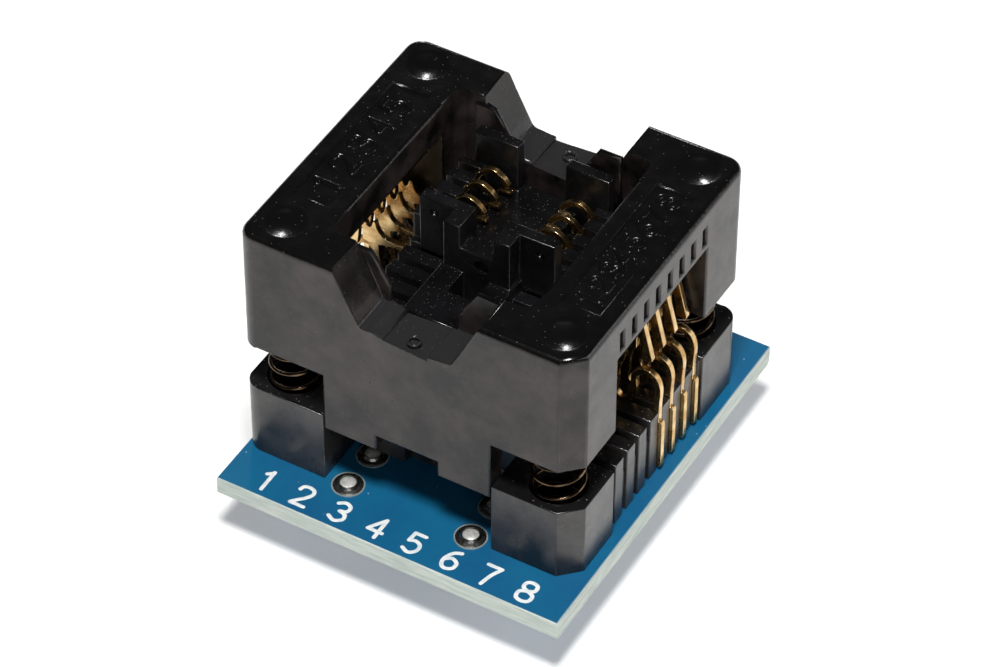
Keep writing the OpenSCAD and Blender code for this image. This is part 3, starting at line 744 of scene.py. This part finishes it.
def corner_weights(mesh: bpy.types.Mesh, width_mm: float) -> Array:
    """Says how much of a rounding each edge takes: all of it where two deep faces meet at a corner.

    The depth of a face beside an edge is its area over the edge's length, and a rounding takes a share of
    it at most.

    Args:
        mesh: Mesh of joined faces.
        width_mm: Width of the rounding.

    Returns:
        One number from 0 to 1 for each edge.
    """
    ends = fetch(mesh.edges, "vertices", int, 2)
    points = fetch(mesh.vertices, "co", float, 3)
    normals, areas = fetch(mesh.polygons, "normal", float, 3), fetch(mesh.polygons, "area", float)
    edge_of = fetch(mesh.loops, "edge_index", int)
    face_of = np.repeat(np.arange(len(mesh.polygons)), fetch(mesh.polygons, "loop_total", int))
    order = np.argsort(edge_of, kind="stable")
    count = np.bincount(edge_of, minlength=len(ends))
    first = np.cumsum(count) - count
    paired = np.flatnonzero(count == 2)
    one, other = face_of[order[first[paired]]], face_of[order[first[paired] + 1]]
    length = np.linalg.norm(points[ends[:, 0]] - points[ends[:, 1]], axis=1)[paired]
    depth = np.minimum(areas[one], areas[other]) / length
    turns = np.einsum("ij,ij->i", normals[one], normals[other]) < math.cos(math.radians(CORNER_TURN))
    share = np.clip(DEPTH_SHARE * depth / (width_mm * MM), 0, 1)
    weights = np.zeros(len(ends))
    weights[paired] = np.where(turns & (length > CORNER_MM * MM), share, 0)
    return weights


def rounded_copy(mesh: bpy.types.Mesh, width_mm: float) -> Piece:
    """Makes a piece with rounded corners from the copy of a moulded solid.

    Args:
        mesh: The copy, which gives the piece its name.
        width_mm: Width of the rounding.

    Returns:
        The piece.
    """
    # The normals stored in model.glb don't fit the joined faces
    stored = mesh.attributes.get("custom_normal")
    if stored:
        mesh.attributes.remove(stored)
    weights = corner_weights(mesh, width_mm)
    mesh.attributes.new("bevel_weight_edge", "FLOAT", "EDGE").data.foreach_set("value", weights)
    mesh.polygons.foreach_set("use_smooth", np.ones(len(mesh.polygons), bool))
    mesh.set_sharp_from_angle(angle=math.radians(CORNER_TURN))
    piece = add_object(mesh.name, mesh)
    round_edges(piece, width_mm, "WEIGHT", loop_slide=False)
    piece.modifiers.new("even_normals", "WEIGHTED_NORMAL").keep_sharp = True
    return piece


def dress(piece: Piece, finish: Finish) -> None:
    """Gives a piece one finish in place of those it has.

    Args:
        piece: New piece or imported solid.
        finish: Its finish.
    """
    while len(piece.material_slots) > 1:
        piece.data.materials.pop()
    if piece.material_slots:
        piece.material_slots[0].material = finish.material()
    else:
        piece.data.materials.append(finish.material())
    log.info("dressed %s in %s", piece.name, finish.name)


def fit(piece: Piece, finish: Finish, body: str = "", node: str = "") -> None:
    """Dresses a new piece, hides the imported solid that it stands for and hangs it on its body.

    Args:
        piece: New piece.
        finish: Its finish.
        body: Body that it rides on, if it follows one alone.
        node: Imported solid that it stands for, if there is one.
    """
    dress(piece, finish)
    if node:
        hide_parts(node)
    if body:
        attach(piece, body)


def box_mm(node: str) -> tuple[Array, Array]:
    """Returns the lowest and highest corner of a node's box, in millimetres."""
    low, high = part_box(node)
    return np.array(low) / MM, np.array(high) / MM


# Numerals

# Strokes of each figure, in shares of its height
DIGITS: dict[str, list[Outline]] = {
    "1": [((0.12, 0.8), (0.24, 0.88), (0.34, 1)), ((0.34, 1), (0.34, 0.5), (0.34, 0))],
    "2": [((0, 0.76), (0.08, 0.94), (0.3, 1), (0.53, 0.92), (0.58, 0.7), (0.42, 0.44), (0.2, 0.22), (0, 0)),
          ((0, 0), (0.3, 0), (0.6, 0))],
    "3": [((0.02, 0.86), (0.28, 1), (0.54, 0.88), (0.52, 0.62), (0.26, 0.53)),
          ((0.26, 0.53), (0.54, 0.44), (0.58, 0.18), (0.3, 0), (0, 0.14))],
    "4": [((0.46, 0), (0.46, 0.5), (0.46, 1)), ((0.46, 1), (0.22, 0.66), (0, 0.32)),
          ((0, 0.32), (0.3, 0.32), (0.62, 0.32))],
    "5": [((0.54, 1), (0.3, 1), (0.08, 1)), ((0.08, 1), (0.06, 0.78), (0.04, 0.56)),
          ((0.04, 0.56), (0.3, 0.64), (0.55, 0.5), (0.56, 0.2), (0.3, 0), (0, 0.12))],
    "6": [((0.5, 0.96), (0.2, 0.8), (0.02, 0.4), (0.1, 0.08), (0.32, 0), (0.56, 0.14), (0.56, 0.42),
           (0.3, 0.56), (0.06, 0.42))],
    "7": [((0, 1), (0.3, 1), (0.58, 1)), ((0.58, 1), (0.36, 0.55), (0.22, 0))],
    "8": [((0.3, 0.54), (0.06, 0.66), (0.08, 0.92), (0.3, 1), (0.52, 0.92), (0.54, 0.66), (0.3, 0.54)),
          ((0.3, 0.54), (0.02, 0.4), (0.04, 0.1), (0.3, 0), (0.56, 0.1), (0.58, 0.4), (0.3, 0.54))],
}
DIGIT_MIDDLE = (0.3, 0.5)
DIGIT_STEPS = 6


def numeral_row(numbers: str, height: float, step: Sequence[float],
                middle: Sequence[float]) -> list[Array]:
    """Paths of a row of numerals that stand upright across the row's direction.

    Args:
        numbers: Figures of the row.
        height: Height of a figure.
        step: From one figure to the next, in X and Y.
        middle: Middle of the row.

    Returns:
        One path for each stroke, in millimetres.
    """
    right = np.asarray(step) / np.linalg.norm(step)
    axes = np.stack([right, [-right[1], right[0]]]) * height
    paths = []
    for k, digit in enumerate(numbers):
        place = np.asarray(middle) + (k - (len(numbers) - 1) / 2) * np.asarray(step)
        strokes = (smooth_path(points, DIGIT_STEPS) for points in DIGITS[digit])
        paths += [(stroke - DIGIT_MIDDLE) @ axes + place for stroke in strokes]
    return paths


# Sub-assemblies


@dataclass
class AdapterBoard:
    """The blue board with its pads, solder, pins and printed numerals."""

    numbers: str = "12345678"
    print_height: float = 1.4
    print_stroke: float = 0.23
    print_pitch: float = 2.3
    print_inset: float = 1.2
    print_thick: float = 0.025
    pin_r: float = 0.25
    tip_r: float = 0.15
    tip_h: float = 0.35
    collar_r: float = 0.675
    collar_t: float = 0.4
    head_r: float = 0.46
    dome_h: float = 0.14
    # Angle up to which the head's ellipse is turned, and the points on it
    dome_turn: float = 1.52
    dome_points: int = 9
    # Level and inset of the sawn edge, from the underside up: ends are scored deeper than sides
    end_score: Outline = ((0.0, 0.5), (0.5, 0.0), (1.5, 0.0), (1.6, 0.06))
    side_score: Outline = ((0.0, 0.3), (0.3, 0.0), (1.56, 0.0), (1.6, 0.04))

    def build(self) -> None:
        """Dresses the board's solids, scores the board, turns the pins and prints the row of numerals."""
        for node, finish in (("board_pads", PAD_TIN), ("pin_solder", PIN_SOLDER), ("tail_solder", PAD_TIN)):
            dress(NODES[node], finish)
        self.score_board()
        for node in [name for name in NODES if name.startswith("header_pin_")]:
            self.turn_pin(node)
        self.print_numbers()

    def score_board(self) -> None:
        """Breaks the board from its panel: at each level its outer faces move in by the score's inset."""
        low, high = box_mm("circuit_board")
        levels = sorted({low[2] + up for up, _ in self.end_score[1:-1] + self.side_score[1:-1]})
        mesh = joined_copy("circuit_board", "scored_board", levels)
        points = fetch(mesh.vertices, "co", float, 3) / MM
        middle = (low + high) / 2
        for axis, score in ((0, self.side_score), (1, self.end_score)):
            inset = np.interp(points[:, 2] - low[2], *np.transpose(score))
            out = points[:, axis] - middle[axis]
            outer = np.abs(out) > (high[axis] - low[axis]) / 2 - ON_FACE_MM
            points[:, axis] -= np.sign(out) * inset * outer
        mesh.vertices.foreach_set("co", (points * MM).ravel())
        mesh.update()
        fit(add_object("scored_board", mesh), BOARD_MASK, ROOT, "circuit_board")

    def turn_pin(self, node: str) -> None:
        """Turns one pin: tip, shank, collar under the board and a head that ends in part of an ellipse.

        Args:
            node: Name of the pin's solid.
        """
        low, high = box_mm(node)
        under = box_mm("circuit_board")[0][2]
        bend = np.linspace(0, self.dome_turn, self.dome_points)
        dome = np.stack([self.head_r * np.cos(bend), high[2] - self.dome_h * (1 - np.sin(bend))], 1)
        shank = [(self.tip_r, low[2]), (self.pin_r, low[2] + self.tip_h), (self.pin_r, under - self.collar_t),
                 (self.collar_r, under - self.collar_t), (self.collar_r, under), (self.head_r, under)]
        pin = turned(f"turned_{node}", np.vstack([shank, dome]), (low + high)[:2] / 2)
        fit(pin, PIN_TIN, ROOT, node)

    def print_numbers(self) -> None:
        """Prints the numerals: low strokes that lie on the mask, evenly spaced about the board's middle."""
        low, high = box_mm("circuit_board")
        middle = ((low[0] + high[0]) / 2, low[1] + self.print_inset)
        paths = numeral_row(self.numbers, self.print_height, (self.print_pitch, 0), middle)
        ink = ridges("printed_numbers", paths, self.print_stroke, high[2], self.print_thick)
        fit(ink, BOARD_INK, ROOT)


@dataclass
class MouldedBody:
    """The moulded pieces: base, tail guides, nest and cover."""

    base_edge: float = 0.05
    nest_edge: float = 0.06
    cover_edge: float = 0.11
    guide_edge: float = 0.04
    rib_face: float = 10.15
    rib_end: float = 4.95
    rib_set: float = 0.22
    panel_depth: float = 0.1
    number_stroke: float = 0.3
    # Side of the bar, its numerals from front to back, their pitch and their height
    number_rows: tuple = ((Side.LEFT, "12345", 1.75, 1.5), (Side.RIGHT, "12345678", 1.2, 1.15))
    sill_z: float = 16.67
    mark_r: float = 0.34
    mark_stroke: float = 0.14
    mark_rise: float = 0.05
    # Points round a mark and across its rim
    mark_points: tuple[int, int] = (40, 7)
    marks: Outline = ((-0.1, -8.45), (-0.2, 8.02))

    def build(self) -> None:
        """Rounds and dresses the moulded solids, then adds the cover's numerals and mould marks."""
        for node, finish, slot, body, edge in (
                ("chip_nest", NEST_PLASTIC, "nest_plastic", ROOT, self.nest_edge),
                ("tail_guide_left", GUIDE_PLASTIC, "guide_plastic", ROOT, self.guide_edge),
                ("tail_guide_right", GUIDE_PLASTIC, "guide_plastic", ROOT, self.guide_edge),
                ("cover", COVER_PLASTIC, "cover_plastic", PRESS, self.cover_edge),
                ("socket_base", BASE_PLASTIC, "base_plastic", ROOT, self.base_edge)):
            mesh = joined_copy(node, f"moulded_{node}")
            if node == "socket_base":
                self.set_ribs_in(mesh)
            fit(rounded_copy(mesh, edge), finish, body, node)
        for row in self.number_rows:
            self.raise_numbers(*row)
        self.mark_sills()

    def set_ribs_in(self, mesh: bpy.types.Mesh) -> None:
        """Sets the outer faces of the base's ribs in, so that the contacts' legs stand proud of them.

        Args:
            mesh: Copy of the base.
        """
        points = fetch(mesh.vertices, "co", float, 3) / MM
        low, high = box_mm("socket_base")
        out = points[:, 0] - (low[0] + high[0]) / 2
        on_face = np.abs(np.abs(out) - self.rib_face) < ON_FACE_MM
        points[:, 0] -= np.sign(out) * self.rib_set * (on_face & (np.abs(points[:, 1]) < self.rib_end))
        mesh.vertices.foreach_set("co", (points * MM).ravel())

    def raise_numbers(self, side: Side, numbers: str, pitch: float, height: float) -> None:
        """Raises a row of numerals from the sunk panel of one bar, up to the cover's top.

        Args:
            side: Side of the bar.
            numbers: Numerals from front to back.
            pitch: Distance between neighbours.
            height: Height of a numeral.
        """
        low, high = box_mm(f"spring_back_{side.name.lower()}")
        top = box_mm("cover")[1][2]
        paths = numeral_row(numbers, height, (0, pitch), ((low[0] + high[0]) / 2, 0))
        row = ridges(f"bar_numbers_{side.name.lower()}", paths, self.number_stroke, top - self.panel_depth,
                     self.panel_depth)
        fit(row, FIGURE_PLASTIC, PRESS)

    def mark_sills(self) -> None:
        """Leaves the ejector pins' round marks on the sills: half an ellipse carried round a circle."""
        count, sides = self.mark_points
        around, across = np.meshgrid(np.linspace(0, 2 * np.pi, count, endpoint=False),
                                     np.linspace(0, np.pi, sides), indexing="ij")
        radius = self.mark_r - self.mark_stroke / 2 * np.cos(across)
        ring = np.stack([radius * np.cos(around), radius * np.sin(around),
                         self.mark_rise * np.sin(across)], -1)
        faces = [face[::-1] for face in ring_faces(count, sides, loop=True)]
        for k, (x, y) in enumerate(self.marks):
            mark = new_piece(f"mould_mark_{k + 1}", ring.reshape(-1, 3) + (x, y, self.sill_z), faces,
                             ROUND_CREASE)
            fit(mark, COVER_PLASTIC, PRESS)


@dataclass
class CoilSprings:
    """The four coil springs between the posts and the cover's corners."""

    wire: float = 0.22
    turns: int = 9
    steps: int = 40
    sides: int = 12
    travel: float = 2.5
    # Steps on either side over which the rise of the wire is evened out
    ease: int = 15

    def build(self) -> None:
        """Winds each spring where its solid stands."""
        for node in [name for name in NODES if name.startswith("spring_")]:
            low, high = box_mm(node)
            points = self.coil(low, high)
            faces = ring_faces(len(points) // self.sides, self.sides)
            coil = new_piece(f"wound_{node}", points, faces, ROUND_CREASE)
            fit(coil, SPRING_WIRE, ROOT, node)
            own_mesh(coil)

    def coil(self, low: Array, high: Array) -> Array:
        """Wire carried along a helix that rises one wire a turn at its closed ends and evenly between them.

        Args:
            low: Lowest corner of the spring's box, in millimetres.
            high: Highest corner.

        Returns:
            Points of the tube, ring after ring.
        """
        t = np.linspace(0, self.turns, self.turns * self.steps + 1)
        radius = (high[0] - low[0]) / 2 - self.wire / 2
        foot, head = low[2] + self.wire / 2, high[2] - self.wire / 2
        knots = [0, 1, self.turns - 1, self.turns]
        level = np.interp(t, knots, [foot, foot + self.wire, head - self.wire, head])
        window = 2 * self.ease + 1
        padded = np.pad(level, self.ease, mode="reflect", reflect_type="odd")
        level = np.convolve(padded, np.ones(window) / window, "valid")
        around = -2 * np.pi * np.arange(self.sides) / self.sides
        r = radius + self.wire / 2 * np.cos(around)[None, :]
        angle = 2 * np.pi * t[:, None]
        x = (low[0] + high[0]) / 2 + r * np.cos(angle)
        y = (low[1] + high[1]) / 2 + r * np.sin(angle)
        z = level[:, None] + self.wire / 2 * np.sin(around)[None, :]
        return np.stack([x, y, z], -1).reshape(-1, 3)


@dataclass
class ContactRows:
    """The eight bent-sheet contacts. Points are outward from and up from the pivot of each arm."""

    places: int = 4
    sheet: float = 0.34
    inner_sheet: float = 0.32
    strip: float = 0.38
    neck: float = 0.36
    arm: float = 0.33
    finger: float = 0.2
    finger_sheet: float = 0.3
    edge: float = 0.05
    # Steps on each stretch of a path
    steps: int = 8
    arch: Outline = ((2.56, -1.7), (2.57, -0.5), (2.6, 0.7), (2.3, 1.4), (1.68, 1.58), (1.17, 1.02),
                     (1.18, 0.2))
    bend: Outline = ((1.17, 0.3), (1.0, -0.65), (0.45, -1.12), (0.0, -0.75), (0.0, 0.0), (0.0, 0.48),
                     (0.12, 1.3), (0.36, 2.1), (0.44, 2.9), (0.46, 3.3))
    goose: Outline = ((-1.0, 3.42), (-1.9, 3.7), (-2.65, 4.75), (-3.25, 6.0), (-3.9, 7.18), (-4.55, 7.59),
                      (-5.15, 7.35), (-5.58, 6.84))
    under: Outline = ((-4.85, 3.0), (-4.85, 4.6), (-4.84, 5.8), (-4.95, 6.3), (-5.3, 6.48), (-5.76, 6.5))
    foot: Outline = ((0.35, -1.6), (0.35, -2.4), (1.155, -2.4), (1.155, -7.7), (1.605, -7.7), (1.605, -2.4),
                     (2.5, -2.4), (2.5, -4.98), (2.58, -5.05), (2.87, -5.05), (2.96, -4.95), (2.96, -1.82),
                     (2.86, -1.66))
    head: Outline = ((-0.3, 3.21), (0.25, 3.02), (0.75, 2.98), (1.18, 3.05), (1.26, 3.14), (1.27, 3.86),
                     (1.31, 3.95), (1.37, 3.95), (1.41, 3.86), (1.55, 2.58), (1.64, 2.47), (2.06, 2.45),
                     (2.19, 2.52), (2.22, 2.66), (1.64, 4.99), (1.32, 6.9), (1.0, 6.9), (1.04, 5.0),
                     (1.02, 4.4), (0.92, 4.2), (0.78, 4.13), (0.66, 4.24), (0.57, 4.62), (0.42, 4.66),
                     (0.34, 4.28), (0.16, 3.94), (-0.05, 3.74), (-0.3, 3.64))
    bend_start: Span = (1.18, 0.2)
    bend_end: Span = (0.191, 0.546)

    def build(self) -> None:
        """Builds each contact as a fixed leg, a neck that bends and a turning arm."""
        for side in Side:
            for place in range(1, self.places + 1):
                self.contact(side, place)

    def hook(self, points: Outline, width: float) -> Array:
        """Strip of even width along a path, with a round end.

        Args:
            points: Points of the path.
            width: Width of the strip.

        Returns:
            The outline, open where the strip begins.
        """
        path = smooth_path(points, self.steps)
        upper, lower = beside(path, -width / 2), beside(path, width / 2)
        return np.vstack([upper, round_end(path[-1], upper[-1])[::-1], lower[::-1]])

    def contact(self, side: Side, place: int) -> None:
        """Builds one contact, whose neck bends from its fixed leg to its turning arm.

        Args:
            side: Side of the socket.
            place: Place of the contact, counted from the front.
        """
        tag = f"{side.name.lower()}_{place}"
        pivot = np.array(JOINTS[f"arm_{tag}_turn"]["pos_m"]) / MM
        arch = smooth_path(self.arch, self.steps)
        leg = np.vstack([self.foot, beside(arch, -self.strip / 2), beside(arch, self.strip / 2)[::-1]])
        bend = smooth_path(self.bend, self.steps)
        neck = np.vstack([beside(bend, self.neck / 2), beside(bend, -self.neck / 2)[::-1]])
        arm = np.vstack([self.head, self.hook(self.goose, self.arm)])
        finger = self.hook(self.under, self.finger)
        pieces = ((f"leg_{tag}", leg, self.sheet, ROOT, f"contact_leg_{tag}"),
                  (f"finger_{tag}", finger, self.finger_sheet, ROOT, ""),
                  (f"neck_{tag}", neck, self.inner_sheet, "", ""),
                  (f"arm_{tag}", arm, self.sheet, f"arm_{tag}", f"contact_arm_{tag}"))
        for name, outline, thick, body, node in pieces:
            drawn = outline * [side.value, 1] + pivot[[0, 2]]
            piece = slab(name, drawn, pivot[1] - thick / 2, pivot[1] + thick / 2)
            fit(piece, CONTACT_GOLD, body, node)
            if body:
                round_edges(piece, self.edge, "ANGLE", angle_limit=math.radians(SHEET_CREASE),
                            harden_normals=True)
            else:
                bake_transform(piece)


@dataclass(frozen=True)
class Lamp:
    """One soft rectangular lamp, in metres and watts."""

    name: str
    place: tuple[float, float, float]
    size: Span
    power: float
    aim: tuple[float, float, float] = (0, 0, 0.01)

    def hang(self) -> None:
        """Hangs the lamp at its place, facing its aim."""
        data = bpy.data.lights.new(self.name, "AREA")
        data.shape = "RECTANGLE"
        data.size, data.size_y = self.size
        data.energy = self.power
        lamp = add_object(self.name, data)
        lamp.location = self.place
        lamp.rotation_euler = (Vector(self.aim) - Vector(self.place)).to_track_quat("-Z", "Y").to_euler()


@dataclass
class Studio:
    """Pale floor, soft lamps and the camera."""

    target_mm: tuple[float, float, float] = (-0.3, 0, 11.44)
    azimuth: float = 30.0
    elevation: float = 43.93
    roll: float = 0.0037
    distance_mm: float = 239.1
    lens: float = 160.9
    sensor: float = 36
    shift: Span = (0.0068, -0.0188)
    near: float = 0.01
    floor_mm: float = 3000.0
    floor_lines: int = 41
    floor_gap_mm: float = 0.02
    room: float = 0.03
    room_colour: tuple[float, float, float, float] = (0.9, 0.95, 1, 1)
    lamps: tuple[Lamp, ...] = (
        Lamp("overhead", (0.06, -0.12, 0.46), (0.08, 0.08), 2.1, aim=(0, 0, 0)),
        Lamp("right_side", (0.42, 0.2, 0.16), (0.25, 0.25), 0.5),
        Lamp("low_back", (-0.27, 0.46, 0.15), (0.03, 0.15), 0.35),
        Lamp("front_fill", (0.25, -0.43, 0.15), (0.4, 0.2), 0.5))

    def build(self) -> None:
        """Sets the view transform, floor, world, lamps and camera."""
        bpy.context.scene.view_settings.view_transform = "Standard"
        self.floor()
        self.world()
        for lamp in self.lamps:
            lamp.hang()
        self.camera()

    def floor(self) -> None:
        """Lays a flat grid just under the part."""
        count = self.floor_lines
        u = np.linspace(-0.5, 0.5, count) * self.floor_mm
        x, y = np.meshgrid(u, u, indexing="xy")
        z = np.full_like(x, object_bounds()[0][2] / MM - self.floor_gap_mm)
        points = np.stack([x, y, z], -1).reshape(-1, 3)
        k = np.arange(count - 1)[:, None] * count + np.arange(count - 1)[None, :]
        faces = np.stack([k, k + 1, k + count + 1, k + count], -1).reshape(-1, 4)
        sheet = new_piece("floor", points, faces.tolist())
        dress(sheet, FloorPaper("pale_paper_floor"))
        sheet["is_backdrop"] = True

    def world(self) -> None:
        """Dims the room round the set."""
        world = bpy.data.worlds.new("dim_room")
        bpy.context.scene.world = world
        world.use_nodes = True
        world.node_tree.nodes.clear()
        room = add_node(world.node_tree, Kind.ROOM, {"Color": self.room_colour, "Strength": self.room})
        add_node(world.node_tree, Kind.WORLD, {"Surface": room[0]})

    def camera(self) -> None:
        """Sets the camera at the photograph's angle."""
        az, el = math.radians(self.azimuth), math.radians(self.elevation)
        right = np.array([math.cos(az), math.sin(az), 0])
        back = np.array([math.sin(az) * math.cos(el), -math.cos(az) * math.cos(el), math.sin(el)])
        up = np.cross(back, right)
        c, s = math.cos(self.roll), math.sin(self.roll)
        right, up = c * right + s * up, c * up - s * right
        place = (np.array(self.target_mm) + back * self.distance_mm) * MM
        data = bpy.data.cameras.new("view")
        data.lens = self.lens
        data.sensor_width = self.sensor
        data.shift_x, data.shift_y = self.shift
        data.clip_start = self.near
        camera = add_object("view", data)
        turned_to = np.eye(4)
        turned_to[:3] = np.stack([right, up, back, place], 1)
        camera.matrix_world = Matrix(turned_to.tolist())
        bpy.context.scene.camera = camera


def main() -> None:
    """Builds the studio and every sub-assembly in order."""
    logging.basicConfig(level=logging.INFO, format="%(message)s")
    for assembly in (Studio(), AdapterBoard(), MouldedBody(), CoilSprings(), ContactRows()):
        assembly.build()


if __name__ == "__main__":
    main()
